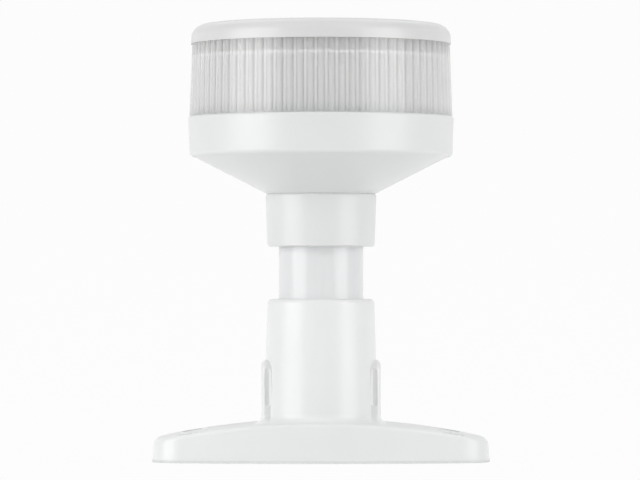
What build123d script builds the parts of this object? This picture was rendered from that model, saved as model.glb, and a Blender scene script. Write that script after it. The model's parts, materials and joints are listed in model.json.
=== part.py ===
from build123d import *
import math
import os

# All-round navigation light on a short pole.
# Millimetres, z is the height above the deck, and the origin is the middle of the underside.
# +X runs along the length of the base flange and -Y is the front.

os.makedirs("parts", exist_ok=True)

# ---- driving dimensions -------------------------------------------------------------------

POLE_RADIUS = 12.7  # a one-inch pole
POLE_WALL = 1.6
POLE_FOOT_Z = 15.45
POLE_TOP_Z = 83.4
SLIP = 0.05  # gap per side where a piece is pushed home
RUNNING = 0.15  # gap per side where pieces turn or slide
LOOSE = 0.1  # gap per side round a piece that is only kept in place
TOUCH = 0.02  # gap between faces that rest on each other

GASKET_THICKNESS = 0.8
GASKET_INSET = 0.05
FLANGE_HALF_LENGTH = 50.15
FLANGE_HALF_DEPTH = 25.0
FLANGE_SIDE_BOW = 228.0  # radius of the long sides in plan
FLANGE_CORNER = 10.0
FLANGE_DRAFT = 5.5  # degrees
FLANGE_RIM = 1.2  # rounding round the top edge
MOULDED_WALL = 2.6
ARCH_TOP_Z = 11.7  # the flange's top is arched along its length and level across it
ARCH_RADIUS = 237.0
DECK_HOLE_SPACING = (76.0, 28.0)
DECK_HOLE_RADIUS = 2.25
DECK_HOLE_SINK_RADIUS = 4.6
DECK_HOLE_SINK_Z = 7.7
DECK_BOSS_RADIUS = 5.2
DECK_BOSS_TOP_Z = 7.0
RIB_SPACING = 58.0
RIB_WIDTH = 1.6
CABLE_WAY_RADIUS = 9.5

PEDESTAL_TOP_Z = 48.3
PEDESTAL_TOP_RADIUS = 15.95
PEDESTAL_FOOT_Z = 7.4
PEDESTAL_FOOT_RADIUS = 17.2
PEDESTAL_FILLET = 2.6
PEDESTAL_LIP = 1.4  # rounding round the socket's mouth
EAR_REACH = 17.8
EAR_HALF_WIDTH = 8.0
EAR_TOP_Z = 30.0
EAR_EDGE = 1.3
EAR_CORNER = 4.0
EAR_POCKET_X = (14.9, 16.9)  # a shallow pocket in each flank of each ear
EAR_POCKET_Z = (16.3, 28.2)
EAR_POCKET_DEPTH = 0.45
EAR_POCKET_SLOPE = 50  # degrees, of the pocket's side walls
POLE_SCREW_Z = 25.5
POLE_SCREW_RADIUS = 2.46
POLE_SCREW_LENGTH = 4.6
POLE_SCREW_KEY_RADIUS = 1.45  # across the corners of the hexagon socket, halved
POLE_SCREW_KEY_DEPTH = 2.4
POLE_SEAL_Z = (44.0, 46.6)
POLE_SEAL_GROOVE = 14.1

COLLAR_Z = (64.0, 79.75)
COLLAR_RADIUS = (16.1, 16.6)
NECK_FOOT_Z = 68.4
NECK_RADIUS = 14.8
COLLAR_LIP_TOP_Z = 65.9
COLLAR_SCREW_Z = 71.9
COLLAR_SCREW_RADIUS = 1.5
COLLAR_SCREW_HEAD_RADIUS = 2.5
COLLAR_SCREW_SEAT = 15.35  # distance of the head's seat from the pole's axis
COLLAR_SCREW_TIP = 9.8  # distance of the inner end from the pole's axis
SCREW_HEAD_HEIGHT = 1.6
SCREW_HEAD_ROUND = 0.7
CROSS_WIDTH = 0.6
CROSS_DEPTH = 0.9

CONE_FOOT_Z = 79.8
CONE_FOOT_RADIUS = 16.25
CONE_TOP_Z = 90.85
CONE_TOP_RADIUS = 37.9
CONE_WALL = 2.2
BAND_FOOT_RADIUS = 39.45
BAND_CORNER = 1.3
BAND_RIM_RADIUS = 39.8
BAND_RIM_Z = 102.9
CUP_RADIUS = 37.3
SEAL_SEAT_RADIUS = 38.3
SEAL_SEAT_Z = 101.3
STOP_TOP_Z = 85.4
STOP_RADIUS = 10.6

THREAD_STARTS = 3
THREAD_LEAD = 18.0  # rise in one full turn
THREAD_FOOT_Z = 97.0
THREAD_HEIGHT = 1.4
LUG_RADIUS = 37.95
LUG_ARC = 30.0
GROOVE_RADIUS = 38.1
GROOVE_ARC = 146.0

SPIGOT_RADIUS = 37.15
SPIGOT_BORE = 35.0
SPIGOT_FOOT_Z = 95.4
LENS_FOOT_RADIUS = 39.45
LENS_TOP_RADIUS = 38.65
LENS_TOP_Z = 124.7
LENS_BORE = 36.4
FLUTE_COUNT = 76
FLUTE_RADIUS = 1.2
FLUTE_CENTRE = 36.0
FLUTE_FOOT_Z = 103.5

CAP_RADIUS = 39.05
CAP_TOP_Z = 131.75
CAP_SHOULDER_Z = 130.55
CAP_CORNER = 4.2
CAP_WALL = 2.3
CAP_DRAW_IN = 0.1  # the cap's side leans in by this much up to its corner
CAP_LEDGE = 1.4  # thickness of the cap's floor where it sits on the lens
SKIRT_RADIUS = 36.1
SKIRT_BORE = 34.3
SKIRT_FOOT_Z = 120.4
STAKE_CIRCLE = 24.0
POST_RADIUS = 2.0  # three posts, each with a thin end that is staked over
STAKE_RADIUS = 0.9
STAKE_HEAD_RADIUS = 1.8
STAKE_HEAD_HEIGHT = 0.6
SHIELD_Z = 126.3
SHIELD_THICKNESS = 0.5
SHIELD_RADIUS = 33.6

PLATE_Z = 89.4
PLATE_THICKNESS = 0.8
PLATE_RADIUS = 29.4
PLATE_LIP_TOP_Z = 91.6
PLATE_SCREW_X = 20.0
PLATE_SCREW_RADIUS = 1.2
PLATE_SCREW_HEAD_RADIUS = 2.6
PLATE_SCREW_LENGTH = 5.0
PLATE_POST_RADIUS = 3.4

SLEEVE_BORE = 7.65
SLEEVE_RADIUS = 8.35
SLEEVE_FOOT_Z = 80.0
SLEEVE_TOP_Z = 97.9
SLEEVE_FLANGE_RADIUS = 11.5
SLEEVE_FLANGE_Z = PLATE_Z + PLATE_THICKNESS + SLIP
SLEEVE_FLANGE_THICKNESS = 0.6
PIN_Z = 94.8
PIN_RADIUS = 1.0
PIN_REACH = 8.65
LAMP_PUSH = 2.0  # travel against the contact springs
SLOT_TURN = 24.0  # degrees from the entry slot to the notch

CONTACT_Y = 3.9
CARRIER_THICKNESS = 2.0
CARRIER_TOP_Z = SLEEVE_FOOT_Z + CARRIER_THICKNESS
TAG_THICKNESS = 0.3
TAG_Y = 6.1
TAG_WIDTH = 2.0
TAG_PAD_RADIUS = 2.2
TAG_FOOT_Z = 75.7
PLUNGER_RADIUS = 0.9
PLUNGER_HEAD_Z = (86.1, 87.25)
PLUNGER_HEAD_RADIUS = 2.1
PLUNGER_FOOT_Z = 78.4
PLUNGER_STOP_Z = (78.6, 79.0)  # a washer below the carrier keeps each plunger in
PLUNGER_STOP_RADIUS = 1.5
SPRING_RADIUS = 1.5
SPRING_WIRE = 0.2
SPRING_TURNS = 4

LAMP_CAP_RADIUS = 7.5
LAMP_CAP_BORE = 7.0
LAMP_CAP_Z = (87.9, 101.9)
LAMP_CONTACT_Z = (87.3, 89.5)
LAMP_CONTACT_RADIUS = 1.5
INSULATOR_THICKNESS = 1.8
GLASS_NECK_RADIUS = 6.8
GLASS_FOOT_Z = 91.4
GLASS_SWELL_Z = 103.9  # the neck starts to swell into the globe here
GLOBE_RADIUS = 9.4
GLOBE_Z = 114.4
GLASS_WALL = 0.7
FILAMENT_Z = 113.8
FILAMENT_HALF_LENGTH = 2.4
FILAMENT_COIL_RADIUS = 0.5
FILAMENT_PITCH = 0.55
FILAMENT_WIRE_RADIUS = 0.13
STEM_TOP_Z = 104.6
STEM_PINCH_Z = 97.4  # the stem is pinched flat from here up
STEM_HALF_THICKNESS = 1.6
STEM_HALF_WIDTH = (2.9, 2.6)  # at the foot and at the top of the pinch
LEAD_IN_X = (1.2, 3.0)  # where the lead-in wires leave the stem, and where they hold the filament
LEAD_IN_RADIUS = 0.3
LEAD_IN_Z = (105.8, 110.4)  # where each lead-in wire starts and ends its outward bend

LEAD_RADIUS = 0.95
LEAD_BEND = 2.0
LEAD_GATHER_Z = (69.4, 59.4)  # where the leads close up towards the pole's axis
LEAD_APART = 2.5
LEAD_EXIT_Z = (7.4, 6.0)  # below the pole, and beside the splice
LEAD_SPREAD = 9.0  # how far each lead moves outwards on its way to the end of its splice
LEAD_OVERRUN = 4.5  # how far each lead runs past the end of its splice before it turns back
LEAD_END_Y = 3.0  # where each lead ends inside its splice
SPLICE_X = 20.0
SPLICE_Z = 4.8
SPLICE_HALF_LENGTH = 9.0
SPLICE_RADIUS = 2.1
CRIMP_HALF_LENGTH = (3.0, 4.0)  # of the pressed middle, at its bottom and at its rims
CRIMP_DEPTH = 0.4

ARCH_CENTRE_Z = ARCH_TOP_Z - ARCH_RADIUS
SOCKET_RADIUS = POLE_RADIUS + SLIP
AWAY = 200.0  # longer than anything that it cuts

# ---- shared outlines ----------------------------------------------------------------------


def flange_plan(inset):
    """The flange's outline, drawn in from the foot of its wall: bowed long sides and round corners."""
    half_length = FLANGE_HALF_LENGTH - inset
    half_depth = FLANGE_HALF_DEPTH - inset
    bow = FLANGE_SIDE_BOW - inset
    corner_y = half_depth - bow + math.sqrt(bow**2 - half_length**2)
    with BuildSketch() as plan:
        with BuildLine():
            ThreePointArc((-half_length, -corner_y), (0, -half_depth), (half_length, -corner_y))
            Line((half_length, -corner_y), (half_length, corner_y))
            ThreePointArc((half_length, corner_y), (0, half_depth), (-half_length, corner_y))
            Line((-half_length, corner_y), (-half_length, -corner_y))
        make_face()
        fillet(plan.vertices(), FLANGE_CORNER - inset)
    return plan.sketch


def arched_slab(inset, arch_radius):
    """A slab with the flange's outline, a drafted wall and a top arched along X."""
    with BuildPart() as slab:
        with BuildSketch(Plane.XY.offset(GASKET_THICKNESS)):
            add(flange_plan(inset))
        extrude(amount=ARCH_TOP_Z, taper=FLANGE_DRAFT)
        with Locations((0, 0, ARCH_CENTRE_Z)):
            Cylinder(arch_radius, AWAY, rotation=(90, 0, 0), mode=Mode.INTERSECT)
    return slab.part


def turned(points):
    """A solid turned about the z axis from a half outline of (radius, z) points."""
    with BuildPart() as shape:
        with BuildSketch(Plane.XZ):
            with BuildLine():
                Polyline(*points, close=True)
            make_face()
        revolve(axis=Axis.Z)
    return shape.part


def disc(radius, foot, top):
    """A plain upright cylinder between two heights."""
    with BuildPart() as shape:
        with BuildSketch(Plane.XY.offset(foot)):
            Circle(radius)
        extrude(amount=top - foot)
    return shape.part


def ring(bore, radius, foot, top):
    """A plain upright ring between two heights."""
    return disc(radius, foot, top) - disc(bore, foot, top)


def thread_bar(bore, radius, height, foot, start, arc):
    """A bar of rectangular section that climbs along one start of the lens thread."""
    middle = (bore + radius) / 2
    with BuildPart() as bar:
        with BuildLine() as path:
            Helix(THREAD_LEAD, THREAD_LEAD * arc / 360, middle, center=(0, 0, foot))
        across = Plane(origin=path.line @ 0, x_dir=(1, 0, 0), z_dir=path.line % 0)
        with BuildSketch(across):
            Rectangle(radius - bore, height)
        sweep(path=path.line, is_frenet=True)
    return bar.part.rotate(Axis.Z, start)


# ---- deck base ----------------------------------------------------------------------------

with BuildPart() as base_gasket:
    with BuildSketch():
        add(flange_plan(GASKET_INSET))
        Circle(CABLE_WAY_RADIUS + 3, mode=Mode.SUBTRACT)
        with GridLocations(*DECK_HOLE_SPACING, 2, 2):
            Circle(DECK_HOLE_RADIUS + 0.2, mode=Mode.SUBTRACT)
    extrude(amount=GASKET_THICKNESS)

base_gasket.part.label = "base_gasket"
export_step(base_gasket.part, "parts/base_gasket.step")

# The two ears are the ends of one bar with round top corners, which runs down into the flange.
with BuildPart() as ears:
    with BuildSketch(Plane.YZ.offset(-EAR_REACH)) as ear_outline:
        with Locations((0, PEDESTAL_FOOT_Z)):
            Rectangle(2 * EAR_HALF_WIDTH, EAR_TOP_Z - PEDESTAL_FOOT_Z, align=(Align.CENTER, Align.MIN))
        fillet(ear_outline.vertices().group_by(Axis.Y)[-1], EAR_CORNER)
    extrude(amount=2 * EAR_REACH)
    end_edges = ears.faces().filter_by(Axis.X).edges()
    fillet(end_edges.filter_by_position(Axis.Z, PEDESTAL_FOOT_Z + 1, AWAY), EAR_EDGE)

with BuildPart() as ear_pockets:
    pocket_width = EAR_POCKET_X[1] - EAR_POCKET_X[0]
    for side in (-1, 1):
        flank = Plane(origin=(0, side * EAR_HALF_WIDTH, 0), x_dir=(1, 0, 0), z_dir=(0, -side, 0))
        with BuildSketch(flank):
            with GridLocations(EAR_POCKET_X[0] + EAR_POCKET_X[1], 1, 2, 1):
                with Locations((0, side * sum(EAR_POCKET_Z) / 2)):
                    SlotOverall(EAR_POCKET_Z[1] - EAR_POCKET_Z[0], pocket_width, rotation=90)
        extrude(amount=EAR_POCKET_DEPTH, taper=EAR_POCKET_SLOPE)

with BuildPart() as base_body:
    add(arched_slab(0, ARCH_RADIUS))
    fillet(base_body.faces().sort_by(Axis.Z)[-1].edges(), FLANGE_RIM)
    add(
        turned(
            [
                (0, PEDESTAL_FOOT_Z),
                (PEDESTAL_FOOT_RADIUS, PEDESTAL_FOOT_Z),
                (PEDESTAL_TOP_RADIUS, PEDESTAL_TOP_Z),
                (0, PEDESTAL_TOP_Z),
            ]
        )
    )
    fillet(base_body.faces().sort_by(Axis.Z)[-1].edges(), PEDESTAL_LIP)
    add(ears.part)
    low_edges = base_body.edges().filter_by_position(Axis.Z, ARCH_TOP_Z - 2, ARCH_TOP_Z + 1)
    foot_edges = low_edges.filter_by_position(Axis.Y, -PEDESTAL_FOOT_RADIUS, PEDESTAL_FOOT_RADIUS)
    fillet(foot_edges, PEDESTAL_FILLET)
    add(ear_pockets.part, mode=Mode.SUBTRACT)
    # The underside is hollow, with a boss round each deck hole and two stiffening ribs.
    add(arched_slab(MOULDED_WALL, ARCH_RADIUS - MOULDED_WALL), mode=Mode.SUBTRACT)
    with BuildSketch(Plane.XY.offset(GASKET_THICKNESS)):
        with GridLocations(*DECK_HOLE_SPACING, 2, 2):
            Circle(DECK_BOSS_RADIUS)
    extrude(amount=DECK_BOSS_TOP_Z - GASKET_THICKNESS)
    with BuildSketch(Plane.XY.offset(GASKET_THICKNESS + 2)):
        with GridLocations(RIB_SPACING, 1, 2, 1):
            Rectangle(RIB_WIDTH, 2 * (FLANGE_HALF_DEPTH - MOULDED_WALL))
    extrude(amount=DECK_BOSS_TOP_Z - GASKET_THICKNESS - 1)
    with Locations((0, 0, DECK_HOLE_SINK_Z)):
        with GridLocations(*DECK_HOLE_SPACING, 2, 2):
            CounterSinkHole(DECK_HOLE_RADIUS, DECK_HOLE_SINK_RADIUS, counter_sink_angle=90)
    # The pole's socket, the cable way below it, the seal groove and the set screw holes.
    add(disc(SOCKET_RADIUS, POLE_FOOT_Z - SLIP, AWAY), mode=Mode.SUBTRACT)
    with BuildSketch(Plane.XY):
        Circle(CABLE_WAY_RADIUS)
    extrude(amount=POLE_FOOT_Z + 1, mode=Mode.SUBTRACT)
    add(ring(POLE_RADIUS, POLE_SEAL_GROOVE, *POLE_SEAL_Z), mode=Mode.SUBTRACT)
    with BuildSketch(Plane.YZ.offset(-AWAY / 2)):
        with Locations((0, POLE_SCREW_Z)):
            Circle(POLE_SCREW_RADIUS + SLIP)
    extrude(amount=AWAY, mode=Mode.SUBTRACT)

base_body.part.label = "base_body"
export_step(base_body.part, "parts/base_body.step")

with BuildPart() as pole_set_screws:
    for side in (-1, 1):
        with BuildSketch(Plane(origin=(side * (POLE_RADIUS + SLIP), 0, POLE_SCREW_Z), z_dir=(side, 0, 0))):
            Circle(POLE_SCREW_RADIUS)
        extrude(amount=POLE_SCREW_LENGTH)
        socket_x = side * (POLE_RADIUS + SLIP + POLE_SCREW_LENGTH)
        with BuildSketch(Plane(origin=(socket_x, 0, POLE_SCREW_Z), z_dir=(side, 0, 0))):
            RegularPolygon(POLE_SCREW_KEY_RADIUS, 6)
        extrude(amount=-POLE_SCREW_KEY_DEPTH, mode=Mode.SUBTRACT)

pole_set_screws.part.label = "pole_set_screws"
export_step(pole_set_screws.part, "parts/pole_set_screws.step")

with BuildPart() as pole_seal:
    with BuildSketch(Plane.XZ) as pole_seal_section:
        with Locations(((POLE_RADIUS + POLE_SEAL_GROOVE) / 2, sum(POLE_SEAL_Z) / 2)):
            Rectangle(POLE_SEAL_GROOVE - POLE_RADIUS - 0.06, POLE_SEAL_Z[1] - POLE_SEAL_Z[0] - 0.1)
        fillet(pole_seal_section.vertices(), 0.5)
    revolve(axis=Axis.Z)

pole_seal.part.label = "pole_seal"
export_step(pole_seal.part, "parts/pole_seal.step")

# ---- pole and collar ----------------------------------------------------------------------


def back_hole(radius, start):
    """A round cutter for the collar screw, from start out through the back."""
    with BuildPart() as hole:
        with BuildSketch(Plane(origin=(0, start, COLLAR_SCREW_Z), z_dir=(0, 1, 0))):
            Circle(radius)
        extrude(amount=AWAY)
    return hole.part


with BuildPart() as pole_tube:
    add(ring(POLE_RADIUS - POLE_WALL, POLE_RADIUS, POLE_FOOT_Z, POLE_TOP_Z))
    add(back_hole(COLLAR_SCREW_RADIUS + SLIP, 0), mode=Mode.SUBTRACT)

pole_tube.part.label = "pole_tube"
export_step(pole_tube.part, "parts/pole_tube.step")

with BuildPart() as tube_collar:
    add(
        turned(
            [
                (SOCKET_RADIUS, COLLAR_Z[0]),
                (COLLAR_RADIUS[0] - 0.4, COLLAR_Z[0]),
                (COLLAR_RADIUS[0], COLLAR_Z[0] + 0.4),
                (COLLAR_RADIUS[1], COLLAR_Z[1] - 0.6),
                (CONE_FOOT_RADIUS, COLLAR_Z[1]),
                (NECK_RADIUS + SLIP, COLLAR_Z[1]),
                (NECK_RADIUS + SLIP, COLLAR_LIP_TOP_Z),
                (SOCKET_RADIUS, COLLAR_LIP_TOP_Z),
            ]
        )
    )
    add(back_hole(COLLAR_SCREW_RADIUS + SLIP, 0), mode=Mode.SUBTRACT)
    add(back_hole(COLLAR_SCREW_HEAD_RADIUS + 0.25, COLLAR_SCREW_SEAT), mode=Mode.SUBTRACT)

tube_collar.part.label = "tube_collar"
export_step(tube_collar.part, "parts/tube_collar.step")

with BuildPart() as collar_seal:
    with BuildSketch(Plane.XZ) as collar_seal_section:
        with Locations(((POLE_RADIUS + NECK_RADIUS) / 2, (COLLAR_LIP_TOP_Z + NECK_FOOT_Z) / 2)):
            Rectangle(NECK_RADIUS - POLE_RADIUS - 0.06, NECK_FOOT_Z - COLLAR_LIP_TOP_Z - 0.1)
        fillet(collar_seal_section.vertices(), 0.4)
    revolve(axis=Axis.Z)

collar_seal.part.label = "collar_seal"
export_step(collar_seal.part, "parts/collar_seal.step")

with BuildPart() as collar_screw:
    head_foot = COLLAR_SCREW_SEAT + SLIP
    with BuildSketch(Plane(origin=(0, COLLAR_SCREW_TIP, COLLAR_SCREW_Z), z_dir=(0, 1, 0))):
        Circle(COLLAR_SCREW_RADIUS)
    extrude(amount=head_foot - COLLAR_SCREW_TIP)
    with BuildSketch(Plane(origin=(0, head_foot, COLLAR_SCREW_Z), z_dir=(0, 1, 0))):
        Circle(COLLAR_SCREW_HEAD_RADIUS)
    extrude(amount=SCREW_HEAD_HEIGHT)
    fillet(collar_screw.faces().sort_by(Axis.Y)[-1].edges(), SCREW_HEAD_ROUND)
    with BuildSketch(Plane(origin=(0, head_foot + SCREW_HEAD_HEIGHT, COLLAR_SCREW_Z), z_dir=(0, 1, 0))):
        Rectangle(COLLAR_SCREW_HEAD_RADIUS, CROSS_WIDTH)
        Rectangle(CROSS_WIDTH, COLLAR_SCREW_HEAD_RADIUS)
    extrude(amount=-CROSS_DEPTH, mode=Mode.SUBTRACT)

collar_screw.part.label = "collar_screw"
export_step(collar_screw.part, "parts/collar_screw.step")

# ---- lamp housing -------------------------------------------------------------------------

cone_angle = math.atan2(CONE_TOP_Z - CONE_FOOT_Z, CONE_TOP_RADIUS - CONE_FOOT_RADIUS)
cone_rise = math.tan(cone_angle)
cone_inner_lift = CONE_WALL / math.cos(cone_angle)


def cone_inside_z(radius):
    """Height of the cone's inner face at a radius."""
    return CONE_FOOT_Z + cone_inner_lift + (radius - CONE_FOOT_RADIUS) * cone_rise


with BuildPart() as housing_hollow:
    add(
        turned(
            [
                (NECK_RADIUS, cone_inside_z(NECK_RADIUS)),
                (CUP_RADIUS, cone_inside_z(CUP_RADIUS)),
                (CUP_RADIUS, SEAL_SEAT_Z),
                (SEAL_SEAT_RADIUS, SEAL_SEAT_Z),
                (SEAL_SEAT_RADIUS, BAND_RIM_Z + 1),
                (0, BAND_RIM_Z + 1),
                (0, STOP_TOP_Z),
                (NECK_RADIUS, STOP_TOP_Z),
            ]
        )
    )
    with BuildSketch(Plane.XY.offset(CONE_FOOT_Z)):
        with GridLocations(2 * PLATE_SCREW_X, 1, 2, 1):
            Circle(PLATE_POST_RADIUS)
    extrude(amount=PLATE_Z - SLIP - CONE_FOOT_Z, mode=Mode.SUBTRACT)

with BuildPart() as lamp_housing:
    with BuildSketch(Plane.XZ):
        with BuildLine():
            Polyline(
                (0, BAND_RIM_Z),
                (0, NECK_FOOT_Z),
                (NECK_RADIUS, NECK_FOOT_Z),
                (NECK_RADIUS, CONE_FOOT_Z),
                (CONE_FOOT_RADIUS, CONE_FOOT_Z),
                (CONE_TOP_RADIUS, CONE_TOP_Z),
                (BAND_FOOT_RADIUS - BAND_CORNER, CONE_TOP_Z),
            )
            RadiusArc(
                (BAND_FOOT_RADIUS - BAND_CORNER, CONE_TOP_Z),
                (BAND_FOOT_RADIUS, CONE_TOP_Z + BAND_CORNER),
                -BAND_CORNER,
            )
            Polyline(
                (BAND_FOOT_RADIUS, CONE_TOP_Z + BAND_CORNER),
                (BAND_RIM_RADIUS, BAND_RIM_Z - 0.4),
                (BAND_RIM_RADIUS - 0.3, BAND_RIM_Z),
                (0, BAND_RIM_Z),
            )
        make_face()
    revolve(axis=Axis.Z)
    add(housing_hollow.part, mode=Mode.SUBTRACT)
    add(disc(SOCKET_RADIUS, NECK_FOOT_Z - 1, POLE_TOP_Z + SLIP), mode=Mode.SUBTRACT)
    add(disc(STOP_RADIUS, POLE_TOP_Z - 1, STOP_TOP_Z + 1), mode=Mode.SUBTRACT)
    with BuildSketch(Plane.XY.offset(PLATE_Z)):
        with GridLocations(2 * PLATE_SCREW_X, 1, 2, 1):
            Circle(PLATE_SCREW_RADIUS + SLIP)
    extrude(amount=-PLATE_SCREW_LENGTH, mode=Mode.SUBTRACT)
    add(back_hole(COLLAR_SCREW_RADIUS + SLIP, 0), mode=Mode.SUBTRACT)
    for start in range(THREAD_STARTS):
        angle = 360 / THREAD_STARTS * start - 1
        foot = THREAD_FOOT_Z - THREAD_LEAD / 360
        height = THREAD_HEIGHT + 2 * RUNNING
        groove = thread_bar(SPIGOT_RADIUS - 0.4, GROOVE_RADIUS, height, foot, angle, GROOVE_ARC)
        add(groove, mode=Mode.SUBTRACT)

lamp_housing.part.label = "lamp_housing"
export_step(lamp_housing.part, "parts/lamp_housing.step")

# ---- lamp holder --------------------------------------------------------------------------

with BuildPart() as holder_plate:
    add(
        turned(
            [
                (SLEEVE_RADIUS + LOOSE, PLATE_Z),
                (PLATE_RADIUS, PLATE_Z),
                (PLATE_RADIUS + 0.8, PLATE_LIP_TOP_Z),
                (PLATE_RADIUS, PLATE_LIP_TOP_Z),
                (PLATE_RADIUS - 0.7, PLATE_Z + PLATE_THICKNESS),
                (SLEEVE_RADIUS + LOOSE, PLATE_Z + PLATE_THICKNESS),
            ]
        )
    )
    with BuildSketch(Plane.XY.offset(PLATE_Z)):
        with GridLocations(2 * PLATE_SCREW_X, 1, 2, 1):
            Circle(PLATE_SCREW_RADIUS + 0.3)
    extrude(amount=PLATE_THICKNESS, mode=Mode.SUBTRACT)

holder_plate.part.label = "holder_plate"
export_step(holder_plate.part, "parts/holder_plate.step")

with BuildPart() as holder_plate_screws:
    seat = PLATE_Z + PLATE_THICKNESS + SLIP
    with BuildSketch(Plane.XY.offset(seat)):
        with GridLocations(2 * PLATE_SCREW_X, 1, 2, 1):
            Circle(PLATE_SCREW_HEAD_RADIUS)
    extrude(amount=SCREW_HEAD_HEIGHT)
    fillet(holder_plate_screws.faces().group_by(Axis.Z)[-1].edges(), SCREW_HEAD_ROUND)
    with BuildSketch(Plane.XY.offset(seat)):
        with GridLocations(2 * PLATE_SCREW_X, 1, 2, 1):
            Circle(PLATE_SCREW_RADIUS)
    extrude(amount=-PLATE_SCREW_LENGTH)
    with BuildSketch(Plane.XY.offset(seat + SCREW_HEAD_HEIGHT)):
        with GridLocations(2 * PLATE_SCREW_X, 1, 2, 1):
            Rectangle(PLATE_SCREW_HEAD_RADIUS, CROSS_WIDTH)
            Rectangle(CROSS_WIDTH, PLATE_SCREW_HEAD_RADIUS)
    extrude(amount=-CROSS_DEPTH, mode=Mode.SUBTRACT)

holder_plate_screws.part.label = "holder_plate_screws"
export_step(holder_plate_screws.part, "parts/holder_plate_screws.step")

# Each bayonet slot is an entry from the rim, a run round the sleeve and a notch that holds the pin.
slot_width = 2 * (PIN_RADIUS + RUNNING)
slot_foot = PIN_Z - LAMP_PUSH - PIN_RADIUS - RUNNING
run_width = 2 * SLEEVE_RADIUS * math.sin(math.radians(SLOT_TURN / 2)) + slot_width

with BuildPart() as holder_sleeve:
    add(ring(SLEEVE_BORE, SLEEVE_RADIUS, SLEEVE_FOOT_Z, SLEEVE_TOP_Z))
    flange_top = SLEEVE_FLANGE_Z + SLEEVE_FLANGE_THICKNESS
    add(ring(SLEEVE_BORE, SLEEVE_FLANGE_RADIUS, SLEEVE_FLANGE_Z, flange_top))
    slot_pieces = (
        (0, slot_width, PIN_Z + PIN_RADIUS + SLIP),
        (SLOT_TURN / 2, run_width, slot_foot + slot_width),
        (SLOT_TURN, slot_width, SLEEVE_TOP_Z + 1),
    )
    for turn, width, top in slot_pieces:
        with BuildSketch(Plane.XY.offset(slot_foot)):
            with PolarLocations(SLEEVE_RADIUS, 2, start_angle=turn):
                Rectangle(3, width)
        extrude(amount=top - slot_foot, mode=Mode.SUBTRACT)

holder_sleeve.part.label = "holder_sleeve"
export_step(holder_sleeve.part, "parts/holder_sleeve.step")

with BuildPart() as contact_carrier:
    with BuildSketch(Plane.XY.offset(SLEEVE_FOOT_Z)):
        Circle(SLEEVE_BORE - SLIP)
        with GridLocations(1, 2 * CONTACT_Y, 1, 2):
            Circle(PLUNGER_RADIUS + LOOSE, mode=Mode.SUBTRACT)
        with GridLocations(1, 2 * TAG_Y + TAG_THICKNESS, 1, 2):
            Rectangle(TAG_WIDTH + 2 * RUNNING, TAG_THICKNESS + 2 * LOOSE, mode=Mode.SUBTRACT)
    extrude(amount=CARRIER_THICKNESS)

contact_carrier.part.label = "contact_carrier"
export_step(contact_carrier.part, "parts/contact_carrier.step")

tag_foot = CARRIER_TOP_Z + TOUCH

with BuildPart() as contact_tags:
    with BuildSketch(Plane.XY.offset(tag_foot)):
        with GridLocations(1, 2 * CONTACT_Y, 1, 2):
            Circle(TAG_PAD_RADIUS)
        for side in (-1, 1):
            with Locations((0, side * (TAG_Y + TAG_THICKNESS + CONTACT_Y) / 2)):
                Rectangle(TAG_WIDTH, TAG_Y + TAG_THICKNESS - CONTACT_Y)
        with GridLocations(1, 2 * CONTACT_Y, 1, 2):
            Circle(PLUNGER_RADIUS + 2 * LOOSE, mode=Mode.SUBTRACT)
    extrude(amount=TAG_THICKNESS)
    with BuildSketch(Plane.XY.offset(TAG_FOOT_Z)):
        with GridLocations(1, 2 * TAG_Y + TAG_THICKNESS, 1, 2):
            Rectangle(TAG_WIDTH, TAG_THICKNESS)
    extrude(amount=tag_foot - TAG_FOOT_Z)

contact_tags.part.label = "contact_tags"
export_step(contact_tags.part, "parts/contact_tags.step")

spring_foot = tag_foot + TAG_THICKNESS + SPRING_WIRE + TOUCH
spring_height = PLUNGER_HEAD_Z[0] - TOUCH - SPRING_WIRE - spring_foot


def contact_spring(y):
    """A coil spring that stands on its tag, round the plunger's stem."""
    with BuildPart() as coil:
        with BuildLine() as path:
            Helix(spring_height / SPRING_TURNS, spring_height, SPRING_RADIUS, center=(0, 0, spring_foot))
        with BuildSketch(Plane(origin=path.line @ 0, z_dir=path.line % 0)):
            Circle(SPRING_WIRE)
        sweep(path=path.line, is_frenet=True)
    return Pos(0, y, 0) * coil.part


with BuildPart() as contact_springs:
    for side in (-1, 1):
        add(contact_spring(side * CONTACT_Y))

contact_springs.part.label = "contact_springs"
export_step(contact_springs.part, "parts/contact_springs.step")

with BuildPart() as contact_plungers:
    plunger = turned(
        [
            (0, PLUNGER_FOOT_Z),
            (PLUNGER_RADIUS, PLUNGER_FOOT_Z),
            (PLUNGER_RADIUS, PLUNGER_STOP_Z[0]),
            (PLUNGER_STOP_RADIUS, PLUNGER_STOP_Z[0]),
            (PLUNGER_STOP_RADIUS, PLUNGER_STOP_Z[1]),
            (PLUNGER_RADIUS, PLUNGER_STOP_Z[1]),
            (PLUNGER_RADIUS, PLUNGER_HEAD_Z[0]),
            (PLUNGER_HEAD_RADIUS, PLUNGER_HEAD_Z[0]),
            (PLUNGER_HEAD_RADIUS, PLUNGER_HEAD_Z[1] - 0.5),
            (PLUNGER_HEAD_RADIUS - 0.7, PLUNGER_HEAD_Z[1]),
            (0, PLUNGER_HEAD_Z[1]),
        ]
    )
    with GridLocations(1, 2 * CONTACT_Y, 1, 2):
        add(plunger)

contact_plungers.part.label = "contact_plungers"
export_step(contact_plungers.part, "parts/contact_plungers.step")

# ---- lamp ---------------------------------------------------------------------------------

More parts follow.
